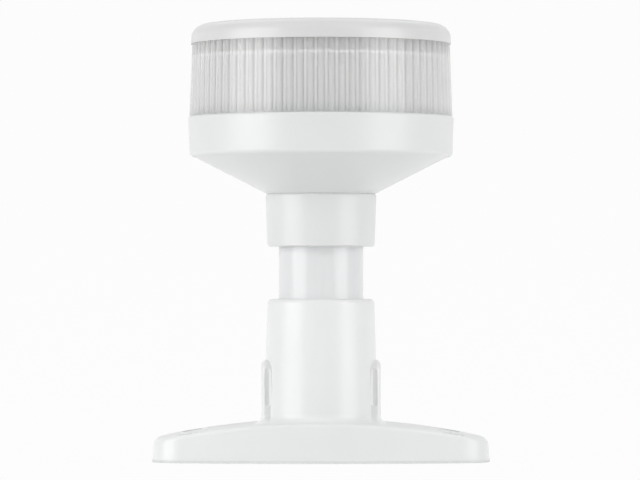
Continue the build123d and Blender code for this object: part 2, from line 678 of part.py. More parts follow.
with BuildPart() as bulb_cap:
    pin_root = (LAMP_CAP_BORE + LAMP_CAP_RADIUS) / 2  # each pin starts inside the wall
    add(ring(LAMP_CAP_BORE, LAMP_CAP_RADIUS, *LAMP_CAP_Z))
    for side in (-1, 1):
        with BuildSketch(Plane(origin=(side * pin_root, 0, PIN_Z), z_dir=(side, 0, 0))):
            Circle(PIN_RADIUS)
        extrude(amount=PIN_REACH - pin_root)

bulb_cap.part.label = "bulb_cap"
export_step(bulb_cap.part, "parts/bulb_cap.step")

with BuildPart() as bulb_insulator:
    with BuildSketch(Plane.XY.offset(LAMP_CAP_Z[0])):
        Circle(LAMP_CAP_BORE - TOUCH)
        with GridLocations(1, 2 * CONTACT_Y, 1, 2):
            Circle(LAMP_CONTACT_RADIUS + TOUCH, mode=Mode.SUBTRACT)
    extrude(amount=INSULATOR_THICKNESS)
    fillet(bulb_insulator.faces().sort_by(Axis.Z)[0].outer_wire().edges(), 0.4)

bulb_insulator.part.label = "bulb_insulator"
export_step(bulb_insulator.part, "parts/bulb_insulator.step")

with BuildPart() as bulb_contacts:
    with BuildSketch(Plane.XY.offset(LAMP_CONTACT_Z[0])):
        with GridLocations(1, 2 * CONTACT_Y, 1, 2):
            Circle(LAMP_CONTACT_RADIUS)
    extrude(amount=LAMP_CONTACT_Z[1] - LAMP_CONTACT_Z[0])
    fillet(bulb_contacts.faces().group_by(Axis.Z)[0].edges(), 0.5)

bulb_contacts.part.label = "bulb_contacts"
export_step(bulb_contacts.part, "parts/bulb_contacts.step")


def globe(wall):
    """The bulb's solid shape, drawn in by a wall: a neck that swells into a round-topped globe."""
    neck = GLASS_NECK_RADIUS - wall
    radius = GLOBE_RADIUS - wall
    with BuildPart() as shape:
        with BuildSketch(Plane.XZ):
            with BuildLine():
                Line((0, GLASS_FOOT_Z), (neck, GLASS_FOOT_Z))
                Line((neck, GLASS_FOOT_Z), (neck, GLASS_SWELL_Z))
                Spline((neck, GLASS_SWELL_Z), (radius, GLOBE_Z), tangents=((0, 1), (0, 1)))
                RadiusArc((radius, GLOBE_Z), (0, GLOBE_Z + radius), -radius)
                Line((0, GLOBE_Z + radius), (0, GLASS_FOOT_Z))
            make_face()
        revolve(axis=Axis.Z)
    return shape.part


with BuildPart() as bulb_glass:
    add(globe(0))
    add(globe(GLASS_WALL), mode=Mode.SUBTRACT)

bulb_glass.part.label = "bulb_glass"
export_step(bulb_glass.part, "parts/bulb_glass.step")

stem_radius = GLASS_NECK_RADIUS - GLASS_WALL - SLIP

with BuildPart() as bulb_stem:
    add(
        turned(
            [
                (0, GLASS_FOOT_Z + 0.2),
                (stem_radius, GLASS_FOOT_Z + 0.2),
                (stem_radius, GLASS_FOOT_Z + 1.2),
                (STEM_HALF_WIDTH[0], GLASS_FOOT_Z + 4),
                (STEM_HALF_WIDTH[1], STEM_TOP_Z - 0.8),
                (1.8, STEM_TOP_Z),
                (0, STEM_TOP_Z),
            ]
        )
    )
    with BuildSketch(Plane.XY.offset(STEM_PINCH_Z)):
        with GridLocations(1, 2 * (STEM_HALF_THICKNESS + stem_radius), 1, 2):
            Rectangle(2 * stem_radius, 2 * stem_radius)
    extrude(amount=AWAY, mode=Mode.SUBTRACT)

bulb_stem.part.label = "bulb_stem"
export_step(bulb_stem.part, "parts/bulb_stem.step")

with BuildPart() as bulb_lead_wires:
    for side in (-1, 1):
        with BuildLine() as path:
            Polyline(
                (side * LEAD_IN_X[0], 0, STEM_TOP_Z + SLIP),
                (side * LEAD_IN_X[0], 0, LEAD_IN_Z[0]),
                (side * LEAD_IN_X[1], 0, LEAD_IN_Z[1]),
                (side * LEAD_IN_X[1], 0, FILAMENT_Z + 0.6),
            )
            fillet(path.vertices().sort_by(Axis.Z)[1:3], 0.8)
        with BuildSketch(Plane(origin=path.line @ 0, z_dir=path.line % 0)):
            Circle(LEAD_IN_RADIUS)
        sweep(path=path.line)

bulb_lead_wires.part.label = "bulb_lead_wires"
export_step(bulb_lead_wires.part, "parts/bulb_lead_wires.step")

with BuildPart() as filament_coil:
    with BuildLine() as path:
        foot = (0, 0, -FILAMENT_HALF_LENGTH)
        Helix(FILAMENT_PITCH, 2 * FILAMENT_HALF_LENGTH, FILAMENT_COIL_RADIUS, center=foot)
    with BuildSketch(Plane(origin=path.line @ 0, z_dir=path.line % 0)):
        Circle(FILAMENT_WIRE_RADIUS)
    sweep(path=path.line, is_frenet=True)

with BuildPart() as bulb_filament:
    add(Pos(0, 0, FILAMENT_Z) * Rot(0, 90, 0) * filament_coil.part)

bulb_filament.part.label = "bulb_filament"
export_step(bulb_filament.part, "parts/bulb_filament.step")

# ---- lens unit ----------------------------------------------------------------------------

with BuildPart() as lens:
    add(
        turned(
            [
                (SPIGOT_BORE, SPIGOT_FOOT_Z),
                (SPIGOT_RADIUS, SPIGOT_FOOT_Z),
                (SPIGOT_RADIUS, BAND_RIM_Z + TOUCH),
                (LENS_FOOT_RADIUS, BAND_RIM_Z + TOUCH),
                (LENS_TOP_RADIUS, LENS_TOP_Z),
                (SPIGOT_BORE, LENS_TOP_Z),
            ]
        )
    )
    # Inside, the wall is fluted from just above the spigot to the top.
    with BuildSketch(Plane.XY.offset(FLUTE_FOOT_Z)):
        Circle(LENS_BORE)
        with PolarLocations(FLUTE_CENTRE, FLUTE_COUNT):
            Circle(FLUTE_RADIUS)
    extrude(amount=LENS_TOP_Z - FLUTE_FOOT_Z, mode=Mode.SUBTRACT)
    for start in range(THREAD_STARTS):
        angle = 360 / THREAD_STARTS * start
        add(thread_bar(SPIGOT_RADIUS - 0.3, LUG_RADIUS, THREAD_HEIGHT, THREAD_FOOT_Z, angle, LUG_ARC))

lens.part.label = "lens"
export_step(lens.part, "parts/lens.step")

with BuildPart() as lens_seal:
    seal_wire = (SEAL_SEAT_RADIUS - SPIGOT_RADIUS) / 2 - 0.04
    with Locations((0, 0, (SEAL_SEAT_Z + BAND_RIM_Z) / 2)):
        Torus((SEAL_SEAT_RADIUS + SPIGOT_RADIUS) / 2, seal_wire)

lens_seal.part.label = "lens_seal"
export_step(lens_seal.part, "parts/lens_seal.step")


def cap_shape(wall):
    """The cap's solid shape, drawn in by a wall: a low crown, a round corner and a short side."""
    side = CAP_RADIUS - wall
    corner = CAP_CORNER - wall
    shoulder = CAP_SHOULDER_Z - wall
    crown = CAP_TOP_Z - CAP_SHOULDER_Z
    corner_foot = (side - CAP_DRAW_IN, shoulder - corner)
    corner_top = (side - CAP_DRAW_IN - corner, shoulder)
    crown_radius = (corner_top[0] ** 2 + crown**2) / (2 * crown)
    with BuildPart() as shape:
        with BuildSketch(Plane.XZ):
            with BuildLine():
                Line((0, LENS_TOP_Z), (side, LENS_TOP_Z))
                Line((side, LENS_TOP_Z), corner_foot)
                RadiusArc(corner_foot, corner_top, -corner)
                RadiusArc(corner_top, (0, shoulder + crown), -crown_radius)
                Line((0, shoulder + crown), (0, LENS_TOP_Z))
            make_face()
        revolve(axis=Axis.Z)
    return shape.part


with BuildPart() as top_cap:
    add(cap_shape(0))
    add(cap_shape(CAP_WALL), mode=Mode.SUBTRACT)
    # The cap sits on the lens, and its skirt hangs inside the flutes.
    add(ring(SKIRT_BORE, CAP_RADIUS - CAP_WALL / 2, LENS_TOP_Z + TOUCH, LENS_TOP_Z + CAP_LEDGE))
    add(ring(SKIRT_BORE, SKIRT_RADIUS, SKIRT_FOOT_Z, LENS_TOP_Z + 1))
    # Three posts carry the heat shield, and their ends are staked over below it.
    shield_foot = SHIELD_Z - TOUCH
    shield_top = SHIELD_Z + SHIELD_THICKNESS + TOUCH
    stake_sections = (
        (POST_RADIUS, shield_top, CAP_SHOULDER_Z - 1),
        (STAKE_RADIUS, shield_foot - 0.1, shield_top + 0.1),
        (STAKE_HEAD_RADIUS, shield_foot - STAKE_HEAD_HEIGHT, shield_foot),
    )
    for radius, low, high in stake_sections:
        with BuildSketch(Plane.XY.offset(low)):
            with PolarLocations(STAKE_CIRCLE, 3, start_angle=90):
                Circle(radius)
        extrude(amount=high - low)

top_cap.part.label = "top_cap"
export_step(top_cap.part, "parts/top_cap.step")

with BuildPart() as heat_shield:
    with BuildSketch(Plane.XY.offset(SHIELD_Z)):
        Circle(SHIELD_RADIUS)
        with PolarLocations(STAKE_CIRCLE, 3, start_angle=90):
            Circle(STAKE_RADIUS + LOOSE, mode=Mode.SUBTRACT)
    extrude(amount=SHIELD_THICKNESS)

heat_shield.part.label = "heat_shield"
export_step(heat_shield.part, "parts/heat_shield.step")

# ---- leads --------------------------------------------------------------------------------


def lead_wire(side):
    """One insulated lead, from its contact tag down the pole and across the hollow to its splice."""
    tag = side * (TAG_Y + TAG_THICKNESS / 2)
    way = side * LEAD_APART
    splice = side * SPLICE_X
    corner = -side * (SPLICE_HALF_LENGTH + LEAD_OVERRUN)
    with BuildPart() as wire:
        with BuildLine() as path:
            FilletPolyline(
                (0, tag, TAG_FOOT_Z - TOUCH),
                (0, tag, LEAD_GATHER_Z[0]),
                (way, 0, LEAD_GATHER_Z[1]),
                (way, 0, LEAD_EXIT_Z[0]),
                (way + side * LEAD_SPREAD, corner, LEAD_EXIT_Z[1]),
                (splice, corner, SPLICE_Z),
                (splice, -side * LEAD_END_Y, SPLICE_Z),
                radius=LEAD_BEND,
            )
        with BuildSketch(Plane(origin=path.line @ 0, z_dir=path.line % 0)):
            Circle(LEAD_RADIUS)
        sweep(path=path.line)
    return wire.part


positive_lead = lead_wire(1)
positive_lead.label = "positive_lead"
export_step(positive_lead, "parts/positive_lead.step")

negative_lead = lead_wire(-1)
negative_lead.label = "negative_lead"
export_step(negative_lead, "parts/negative_lead.step")

# Each splice is a sleeve, open at both ends and crimped in the middle, that lies across the hollow.
with BuildPart() as splice:
    with BuildSketch(Plane.XZ):
        with BuildLine():
            Polyline(
                (LEAD_RADIUS + LOOSE, -SPLICE_HALF_LENGTH),
                (SPLICE_RADIUS, -SPLICE_HALF_LENGTH),
                (SPLICE_RADIUS, -CRIMP_HALF_LENGTH[1]),
                (SPLICE_RADIUS - CRIMP_DEPTH, -CRIMP_HALF_LENGTH[0]),
                (SPLICE_RADIUS - CRIMP_DEPTH, CRIMP_HALF_LENGTH[0]),
                (SPLICE_RADIUS, CRIMP_HALF_LENGTH[1]),
                (SPLICE_RADIUS, SPLICE_HALF_LENGTH),
                (LEAD_RADIUS + LOOSE, SPLICE_HALF_LENGTH),
                close=True,
            )
        make_face()
    revolve(axis=Axis.Z)

with BuildPart() as crimp_splices:
    for side in (-1, 1):
        add(Pos(side * SPLICE_X, 0, SPLICE_Z) * Rot(90, 0, 0) * splice.part)

crimp_splices.part.label = "crimp_splices"
export_step(crimp_splices.part, "parts/crimp_splices.step")
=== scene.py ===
import json
import math

import bpy
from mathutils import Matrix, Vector


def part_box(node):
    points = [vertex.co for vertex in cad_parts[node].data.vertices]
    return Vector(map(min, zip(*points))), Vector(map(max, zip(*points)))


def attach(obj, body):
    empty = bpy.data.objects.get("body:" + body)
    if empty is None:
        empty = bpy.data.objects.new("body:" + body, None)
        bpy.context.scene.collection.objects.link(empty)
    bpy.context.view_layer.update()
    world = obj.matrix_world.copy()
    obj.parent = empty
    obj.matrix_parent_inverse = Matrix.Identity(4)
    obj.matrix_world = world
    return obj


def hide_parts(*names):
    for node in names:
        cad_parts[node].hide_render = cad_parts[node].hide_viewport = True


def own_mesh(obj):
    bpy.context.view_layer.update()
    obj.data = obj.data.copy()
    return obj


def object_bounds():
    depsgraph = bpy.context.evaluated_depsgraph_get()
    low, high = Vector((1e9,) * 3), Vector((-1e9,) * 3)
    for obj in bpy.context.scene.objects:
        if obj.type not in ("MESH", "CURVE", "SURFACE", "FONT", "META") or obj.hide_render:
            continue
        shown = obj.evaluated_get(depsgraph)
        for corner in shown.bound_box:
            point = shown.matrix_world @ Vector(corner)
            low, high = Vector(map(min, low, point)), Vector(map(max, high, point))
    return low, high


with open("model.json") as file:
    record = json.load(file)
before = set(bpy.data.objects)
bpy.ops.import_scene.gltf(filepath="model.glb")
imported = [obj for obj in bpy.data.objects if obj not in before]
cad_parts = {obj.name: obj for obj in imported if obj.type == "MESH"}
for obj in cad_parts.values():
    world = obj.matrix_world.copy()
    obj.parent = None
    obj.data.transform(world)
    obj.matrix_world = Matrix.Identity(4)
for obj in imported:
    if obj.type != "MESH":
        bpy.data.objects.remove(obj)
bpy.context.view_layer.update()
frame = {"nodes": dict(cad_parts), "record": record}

# An all-round navigation light on a white studio sweep. Metres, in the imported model's own frame.

FLUTE_COUNT = 76
LENS_INSIDE = 0.0373  # radius that parts the lens's fluted inner face from its outer one
LENS_FOOT_SHADE = 0.0035  # height of the strip of painted shade at the lens's foot
SKIRT_MIDDLE = 0.0352  # radius halfway through the wall of the cap's skirt
SKIRT_LIP_HIGHLIGHT_Z = 0.1210  # the skirt is painted bright below this height: a painted highlight on its lip
FEATHER = 0.0002  # over which one shade on the cap passes into the next

CLOUDY_WALL = (0.18, 0.22)  # share of light that scatters at either face of the lens, between its patches
CLOUDY_INSIDE = (0.52, 0.80)  # what the inner face adds to it, in the flutes and on the ridges between them
CLOUD_LET_THROUGH = 0.4  # share of the scattered light that goes on through, not back

# colour of seams and corners darkened by occlusion: painted shade, and dust
DUST_AND_SEAM_SHADE = (0.60, 0.60, 0.58)
SEAM_REACH = 0.0015
EDGE_REACH = 0.0003
SMALL_EDGE_REACH = 0.00015
ACRYLIC_IOR = 1.49
GLASS_IOR = 1.5

# ---- node graph helpers -------------------------------------------------------------------


class Graph:
    """A material's node tree, with short calls to add and join nodes."""

    def __init__(self, name):
        self.material = bpy.data.materials.new(name)
        self.material.use_nodes = True
        self.tree = self.material.node_tree
        self.tree.nodes.clear()
        self.output = self.add("ShaderNodeOutputMaterial")
        self.place = self.add("ShaderNodeTexCoord").outputs["Object"]

    def add(self, kind, **inputs):
        node = self.tree.nodes.new(kind)
        for name, value in inputs.items():
            self.set(node, name.replace("_", " "), value)
        return node

    def set(self, node, name, value):
        socket = node.inputs[name]
        if isinstance(value, bpy.types.NodeSocket):
            self.tree.links.new(value, socket)
        else:
            socket.default_value = value

    def math(self, operation, a, b=0.0):
        node = self.tree.nodes.new("ShaderNodeMath")
        node.operation = operation
        self.set(node, 0, a)
        self.set(node, 1, b)
        return node.outputs[0]

    def opposite(self, value):
        """1 less the value."""
        return self.math("SUBTRACT", 1.0, value)

    def vector(self, operation, a, b=(0, 0, 0)):
        node = self.tree.nodes.new("ShaderNodeVectorMath")
        node.operation = operation
        self.set(node, 0, a)
        self.set(node, 1, b)
        return node.outputs["Value" if operation == "DOT_PRODUCT" else "Vector"]

    def to_world(self, direction):
        """Turns a direction with the piece, from its own axes to the world's."""
        node = self.add("ShaderNodeVectorTransform", Vector=direction)
        node.vector_type, node.convert_from, node.convert_to = "VECTOR", "OBJECT", "WORLD"
        return node.outputs[0]

    def noise(self, scale, detail, roughness=0.5, stretch=(1, 1, 1)):
        """A noise value, mostly from 0.3 to 0.7; scale counts features in a metre."""
        mapping = self.add("ShaderNodeMapping", Vector=self.place, Scale=stretch)
        node = self.add("ShaderNodeTexNoise", Vector=mapping.outputs[0], Scale=scale, Detail=detail)
        node.inputs["Roughness"].default_value = roughness
        return node.outputs["Fac"]

    def spread(self, value, low, high, new_low, new_high):
        """Carries a value from one range to another, held at the ends."""
        node = self.add("ShaderNodeMapRange")
        for index, item in enumerate((value, low, high, new_low, new_high)):
            self.set(node, index, item)
        return node.outputs[0]

    def patches(self, scale, detail, low, high):
        """Noise carried over to the range from low to high."""
        return self.spread(self.noise(scale, detail), 0.3, 0.7, low, high)

    def along(self, vector, axis):
        """One part of a vector: 0, 1 or 2 for x, y or z."""
        return self.add("ShaderNodeSeparateXYZ", Vector=vector).outputs[axis]

    def radius(self):
        """Distance from the pole's axis."""
        x, y, z = self.add("ShaderNodeSeparateXYZ", Vector=self.place).outputs
        return self.math("SQRT", self.math("ADD", self.math("POWER", x, 2.0), self.math("POWER", y, 2.0)))

    def facing(self, name):
        """The surface's Normal, or the direction towards the viewer, Incoming."""
        return self.add("ShaderNodeNewGeometry").outputs[name]

    def mix_colour(self, share, a, b):
        node = self.tree.nodes.new("ShaderNodeMix")
        node.data_type = "RGBA"
        self.set(node, 0, share)
        for index, value in ((6, a), (7, b)):
            if isinstance(value, bpy.types.NodeSocket):
                self.tree.links.new(value, node.inputs[index])
            else:
                node.inputs[index].default_value = (*value, 1.0)
        return node.outputs[2]

    def bump(self, height, depth, before=None):
        """Raises the surface by height times depth, in metres, on top of the bump before."""
        node = self.add("ShaderNodeBump", Height=height, Distance=depth, Strength=1.0)
        if before is not None:
            self.set(node, "Normal", before)
        return node.outputs["Normal"]

    def edges(self, reach):
        """0 on flats and up to 1 within reach of an edge, in metres."""
        bevel = self.add("ShaderNodeBevel", Radius=reach)
        bevel.samples = 4
        turn = self.vector("DOT_PRODUCT", bevel.outputs[0], self.facing("Normal"))
        return self.spread(turn, 0.97, 0.75, 0.0, 1.0)

    def dust_and_seam_shade(self, colour):
        """The colour darkened in its seams and corners by occlusion: painted shade, and dust there."""
        seams = self.add("ShaderNodeAmbientOcclusion", Distance=SEAM_REACH)
        seams.samples = 4
        return self.mix_colour(self.spread(seams.outputs["AO"], 0.05, 0.4, 0.2, 0.0), colour, DUST_AND_SEAM_SHADE)

    def blend(self, share, a, b):
        """Mixes two shaders; share is the second one's part of the whole."""
        node = self.add("ShaderNodeMixShader")
        for index, value in enumerate((share, a, b)):
            self.set(node, index, value)
        return node.outputs[0]

    def surface(self, shader):
        self.tree.links.new(shader, self.output.inputs["Surface"])
        return self.material


def principled(graph, **inputs):
    return graph.add("ShaderNodeBsdfPrincipled", **inputs).outputs[0]


# ---- materials ----------------------------------------------------------------------------


def skirt_painted_shade_and_lip_highlight(g, colour, top):
    """Painted shade: darkens the outer face below the height top, where the cap's skirt hangs in shade inside
    the lens, down to a lip painted bright as a painted highlight.
    """
    height = g.along(g.place, 2)
    below = g.spread(height, top - FEATHER, top, 1.0, 0.0)
    outer = g.spread(g.radius(), SKIRT_MIDDLE - FEATHER, SKIRT_MIDDLE + FEATHER, 0.0, 1.0)
    above_lip = g.spread(height, SKIRT_LIP_HIGHLIGHT_Z - FEATHER / 2, SKIRT_LIP_HIGHLIGHT_Z + FEATHER / 2, 0.0, 1.0)
    # Painted shade on the skirt, then a painted highlight on its lip.
    painted_shade = g.math("MULTIPLY", g.math("MULTIPLY", below, outer), above_lip)
    colour = g.mix_colour(painted_shade, colour, (0.11, 0.11, 0.105))
    return g.mix_colour(g.math("MULTIPLY", below, g.opposite(above_lip)), colour, (0.93, 0.93, 0.93))


def moulded_white(name, tint, shade, roughness=0.34, skirt_top=None):
    """White injection-moulded plastic: faint flow marks, a fine texture, rubbed edges, and seams darkened
    with painted shade and dust.
    """
    g = Graph(name)
    colour = g.mix_colour(g.spread(g.noise(28, 4), 0.35, 0.7, 0.0, 1.0), tint, shade)
    # Painted shade and dust in the seams and corners.
    colour = g.mix_colour(g.math("MULTIPLY", g.edges(EDGE_REACH), 0.5), g.dust_and_seam_shade(colour), (0.86, 0.86, 0.86))
    # Painted shade on the cap's skirt inside the lens, with a painted highlight on its lip.
    if skirt_top is not None:
        colour = skirt_painted_shade_and_lip_highlight(g, colour, skirt_top)
    coarse = g.patches(60, 3, -0.04, 0.05)
    fine = g.patches(900, 2, -0.02, 0.02)
    # Level faces are more matt, where dust settles and hands rub.
    level = g.spread(g.along(g.facing("Normal"), 2), 0.8, 0.97, 0.0, 1.0)
    worn = g.spread(level, 0.0, 1.0, roughness, roughness + 0.25)
    rough = g.math("ADD", g.math("ADD", coarse, fine), worn)
    sheen = g.spread(level, 0.0, 1.0, 0.75, 0.2)
    grain = g.bump(g.noise(1800, 3), 0.000012)
    waves = g.bump(g.noise(70, 2), 0.00008, before=grain)
    return g.surface(
        principled(
            g, Base_Color=colour, Roughness=rough, Normal=waves, IOR=GLASS_IOR, Specular_IOR_Level=sheen
        )
    )


def coated_pole(name):
    """White gloss coating on tube: a faint drawn grain along the tube under it."""
    g = Graph(name)
    streaks = g.noise(500, 3, stretch=(1, 1, 0.02))
    colour = g.mix_colour(g.spread(streaks, 0.3, 0.7, 0.0, 1.0), (0.80, 0.81, 0.815), (0.77, 0.785, 0.79))
    # Painted shade and dust in the seams and corners.
    colour = g.dust_and_seam_shade(colour)
    rough = g.patches(120, 3, 0.285, 0.34)
    normal = g.bump(streaks, 0.00001, before=g.bump(g.noise(90, 2), 0.00005))
    return g.surface(
        principled(g, Base_Color=colour, Roughness=rough, Normal=normal, Coat_Weight=0.4, Coat_Roughness=0.12)
    )


def rubber(name, colour, shade, roughness=0.6):
    """Matt rubber or foam, with pores and a bloom of dust."""
    g = Graph(name)
    pore = g.noise(2500, 4, 0.7)
    mixed = g.mix_colour(g.spread(pore, 0.4, 0.6, 0.0, 1.0), colour, shade)
    rough = g.patches(150, 3, roughness - 0.08, roughness + 0.12)
    return g.surface(
        principled(
            g, Base_Color=mixed, Roughness=rough, Normal=g.bump(pore, 0.00004), Sheen_Weight=0.15, IOR=1.45
        )
    )


def metal(name, colour, shade, roughness=0.25, stretch=(1, 1, 1)):
    """Metal with a drawn or turned grain, cloudy tarnish and bright rubbed edges."""
    g = Graph(name)
    grain = g.noise(900, 4, 0.6, stretch)
    tarnish = g.noise(220, 3)
    mixed = g.mix_colour(g.spread(tarnish, 0.35, 0.7, 0.0, 1.0), colour, shade)
    mixed = g.mix_colour(g.math("MULTIPLY", g.edges(SMALL_EDGE_REACH), 0.6), mixed, (0.95, 0.95, 0.95))
    clouded = g.spread(tarnish, 0.3, 0.7, roughness, roughness + 0.1)
    rough = g.math("ADD", g.spread(grain, 0.3, 0.7, -0.06, 0.08), clouded)
    normal = g.bump(grain, 0.000008)
    return g.surface(principled(g, Base_Color=mixed, Metallic=1.0, Roughness=rough, Normal=normal))


def plastic(name, colour, shade, roughness=0.4):
    """Plain coloured plastic, with a fine texture and scuffed edges."""
    g = Graph(name)
    grain = g.noise(700, 4)
    mixed = g.mix_colour(g.spread(grain, 0.35, 0.65, 0.0, 1.0), colour, shade)
    scuff = tuple(min(1.0, 0.6 * c + 0.25) for c in colour)
    mixed = g.mix_colour(g.math("MULTIPLY", g.edges(SMALL_EDGE_REACH), 0.35), mixed, scuff)
    rough = g.patches(240, 3, roughness - 0.06, roughness + 0.1)
    return g.surface(principled(g, Base_Color=mixed, Roughness=rough, Normal=g.bump(grain, 0.00002)))


def clear_shell(graph, glass, tint):
    """A glass shader that lets shadow and diffuse rays straight through, so that what it covers is lit."""
    rays = graph.add("ShaderNodeLightPath")
    soft = graph.math("MAXIMUM", rays.outputs["Is Shadow Ray"], rays.outputs["Is Diffuse Ray"])
    clear = graph.add("ShaderNodeBsdfTransparent", Color=(*tint, 1.0))
    return graph.blend(soft, glass, clear.outputs[0])


def lens_cloud(g, x, y, colour):
    """Light scattered inside the lens, as evenly as by a plain ring: it faces straight out from the axis."""
    outwards = g.to_world(g.add("ShaderNodeCombineXYZ", X=x, Y=y).outputs[0])
    outwards = g.vector("NORMALIZE", outwards)
    side = g.math("SIGN", g.vector("DOT_PRODUCT", g.facing("Incoming"), outwards))
    towards_viewer = g.vector("MULTIPLY", outwards, side)
    through = g.add("ShaderNodeBsdfTranslucent", Color=colour, Normal=towards_viewer)
    back = g.add("ShaderNodeBsdfDiffuse", Color=colour, Normal=towards_viewer)
    return g.blend(1 - CLOUD_LET_THROUGH, through.outputs[0], back.outputs[0])


def lens_plastic(name):
    """Clear moulded plastic: polished outside, cloudy inside, frosted along the ridges between the flutes."""
    g = Graph(name)
    x, y, z = g.add("ShaderNodeSeparateXYZ", Vector=g.place).outputs
    outside = g.spread(g.radius(), LENS_INSIDE, LENS_INSIDE + 0.0006, 0.0, 1.0)
    inside = g.opposite(outside)
    turn = g.math("MULTIPLY", g.math("ARCTAN2", y, x), float(FLUTE_COUNT))
    ridge = g.spread(g.math("COSINE", g.math("ADD", turn, math.pi)), 0.45, 0.95, 0.0, 1.0)

    polish = g.patches(90, 3, 0.16, 0.21)
    haze = g.patches(180, 4, 0.18, 0.24)
    rough = g.math("ADD", g.math("MULTIPLY", haze, inside), g.math("MULTIPLY", polish, outside))
    scratches = g.noise(3500, 3, 0.7, stretch=(1, 1, 0.08))
    normal = g.bump(scratches, 0.0000004, before=g.bump(g.noise(120, 2), 0.000001))

    colour = g.mix_colour(g.patches(40, 3, 0.0, 1.0), (0.99, 0.99, 0.985), (0.975, 0.98, 0.975))
    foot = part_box("lens_seal")[1].z
    # Painted shade: the lens greys towards its foot, where the housing behind it cuts off light.
    foot_painted_shade = g.spread(z, foot, foot + LENS_FOOT_SHADE, 0.6, 0.0)
    colour = g.mix_colour(foot_painted_shade, colour, (0.80, 0.81, 0.815))
    valley = g.math("MULTIPLY", inside, g.opposite(ridge))
    colour = g.mix_colour(g.math("MULTIPLY", valley, 0.3), colour, (0.945, 0.945, 0.945))

    glass = principled(
        g, Base_Color=colour, Roughness=rough, Normal=normal, IOR=ACRYLIC_IOR, Transmission_Weight=1.0
    )
    frost = g.math("MULTIPLY", inside, g.spread(ridge, 0.0, 1.0, *CLOUDY_INSIDE))
    cloudy = g.math("ADD", g.patches(25, 3, *CLOUDY_WALL), frost)
    body = g.blend(cloudy, glass, lens_cloud(g, x, y, colour))
    return g.surface(clear_shell(g, body, (0.99, 0.995, 0.995)))


def bulb_glass(name):
    """Thin blown glass, with slow ripples and a smoky patch near the top."""
    g = Graph(name)
    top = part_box("bulb_glass")[1].z
    smoke = g.spread(g.along(g.place, 2), top - 0.008, top, 0.0, 0.25)
    colour = g.mix_colour(g.math("MULTIPLY", smoke, g.noise(300, 3)), (0.98, 0.99, 0.99), (0.75, 0.74, 0.72))
    normal = g.bump(g.noise(160, 2), 0.00004)
    rough = g.patches(300, 2, 0.0, 0.02)
    glass = principled(
        g, Base_Color=colour, Roughness=rough, Normal=normal, IOR=GLASS_IOR, Transmission_Weight=1.0
    )
    return g.surface(clear_shell(g, glass, (0.96, 0.97, 0.97)))


looks = {
    "white_moulding": moulded_white("white_moulding", (0.78, 0.785, 0.785), (0.75, 0.76, 0.76)),
    "pole_coating": coated_pole("pole_coating"),
    "gasket_foam": rubber("gasket_foam", (0.77, 0.78, 0.78), (0.72, 0.73, 0.73), 0.7),
    "seal_rubber": rubber("seal_rubber", (0.03, 0.03, 0.03), (0.05, 0.05, 0.05)),
    "lens_seal_rubber": rubber("lens_seal_rubber", (0.6, 0.61, 0.61), (0.52, 0.53, 0.53), 0.4),
    "stainless": metal("stainless", (0.62, 0.61, 0.6), (0.5, 0.5, 0.5)),
    "spring_steel": metal("spring_steel", (0.55, 0.54, 0.52), (0.4, 0.39, 0.37)),
    "plate_paint": moulded_white("plate_paint", (0.80, 0.80, 0.79), (0.76, 0.76, 0.75), 0.45),
    "nickel": metal("nickel", (0.66, 0.64, 0.6), (0.52, 0.5, 0.46), 0.18, (1, 1, 0.05)),
    "phenolic": plastic("phenolic", (0.2, 0.09, 0.045), (0.13, 0.055, 0.03), 0.5),
    "contact_brass": metal("contact_brass", (0.72, 0.52, 0.22), (0.5, 0.34, 0.13)),
    "cap_brass": metal("cap_brass", (0.75, 0.58, 0.28), (0.56, 0.4, 0.18), 0.22, (1, 1, 0.04)),
    "cap_glass": plastic("cap_glass", (0.012, 0.012, 0.015), (0.02, 0.02, 0.024), 0.12),
    "solder": metal("solder", (0.55, 0.55, 0.53), (0.38, 0.38, 0.37), 0.4),
    "bulb_glass": bulb_glass("bulb_glass"),
    "lamp_wire": metal("lamp_wire", (0.55, 0.55, 0.53), (0.42, 0.41, 0.4)),
    "tungsten": metal("tungsten", (0.2, 0.2, 0.21), (0.12, 0.12, 0.13), 0.35),
    "clear_lens": lens_plastic("clear_lens"),
    "bright_aluminium": metal("bright_aluminium", (0.82, 0.83, 0.84), (0.7, 0.71, 0.72), 0.3, (0.03, 1, 1)),
    "red_insulation": plastic("red_insulation", (0.5, 0.02, 0.015), (0.38, 0.015, 0.012)),
    "black_insulation": plastic("black_insulation", (0.02, 0.02, 0.02), (0.035, 0.035, 0.035)),
    "splice_sleeve": plastic("splice_sleeve", (0.04, 0.13, 0.45), (0.03, 0.09, 0.35), 0.3),
}

for part in frame["record"]["subparts"]:
    mesh = frame["nodes"][part["node"]].data
    mesh.materials.clear()
    mesh.materials.append(looks[part["material_slot"]])

# The cap is painted a little greyer than the housing: painted shade, for the dimmer light at the top. Its
# skirt hangs inside the lens, below the lens's top, with painted shade and a painted highlight on its lip.
frame["nodes"]["top_cap"].data.materials[0] = moulded_white(
    "cap_moulding_painted_shade", (0.71, 0.715, 0.71), (0.685, 0.69, 0.685), skirt_top=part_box("lens")[1].z
)
# The base is painted a little whiter than the rest: painted light, for the extra light on it from in front
# and below.
frame["nodes"]["base_body"].data.materials[0] = moulded_white(
    "base_moulding_painted_light", (0.85, 0.855, 0.855), (0.82, 0.83, 0.83)
)

# ---- pieces -------------------------------------------------------------------------------


def sprung_coils():
    """The contact springs again, as a piece of their own on the mast with their own mesh; the CAD springs are
    hidden.
    """
    node = frame["nodes"]["contact_springs"]
    coils = bpy.data.objects.new("contact_spring_coils", node.data.copy())
    bpy.context.scene.collection.objects.link(coils)
    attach(coils, "mast")
    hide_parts("contact_springs")
    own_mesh(coils)


sprung_coils()

# ---- studio -------------------------------------------------------------------------------

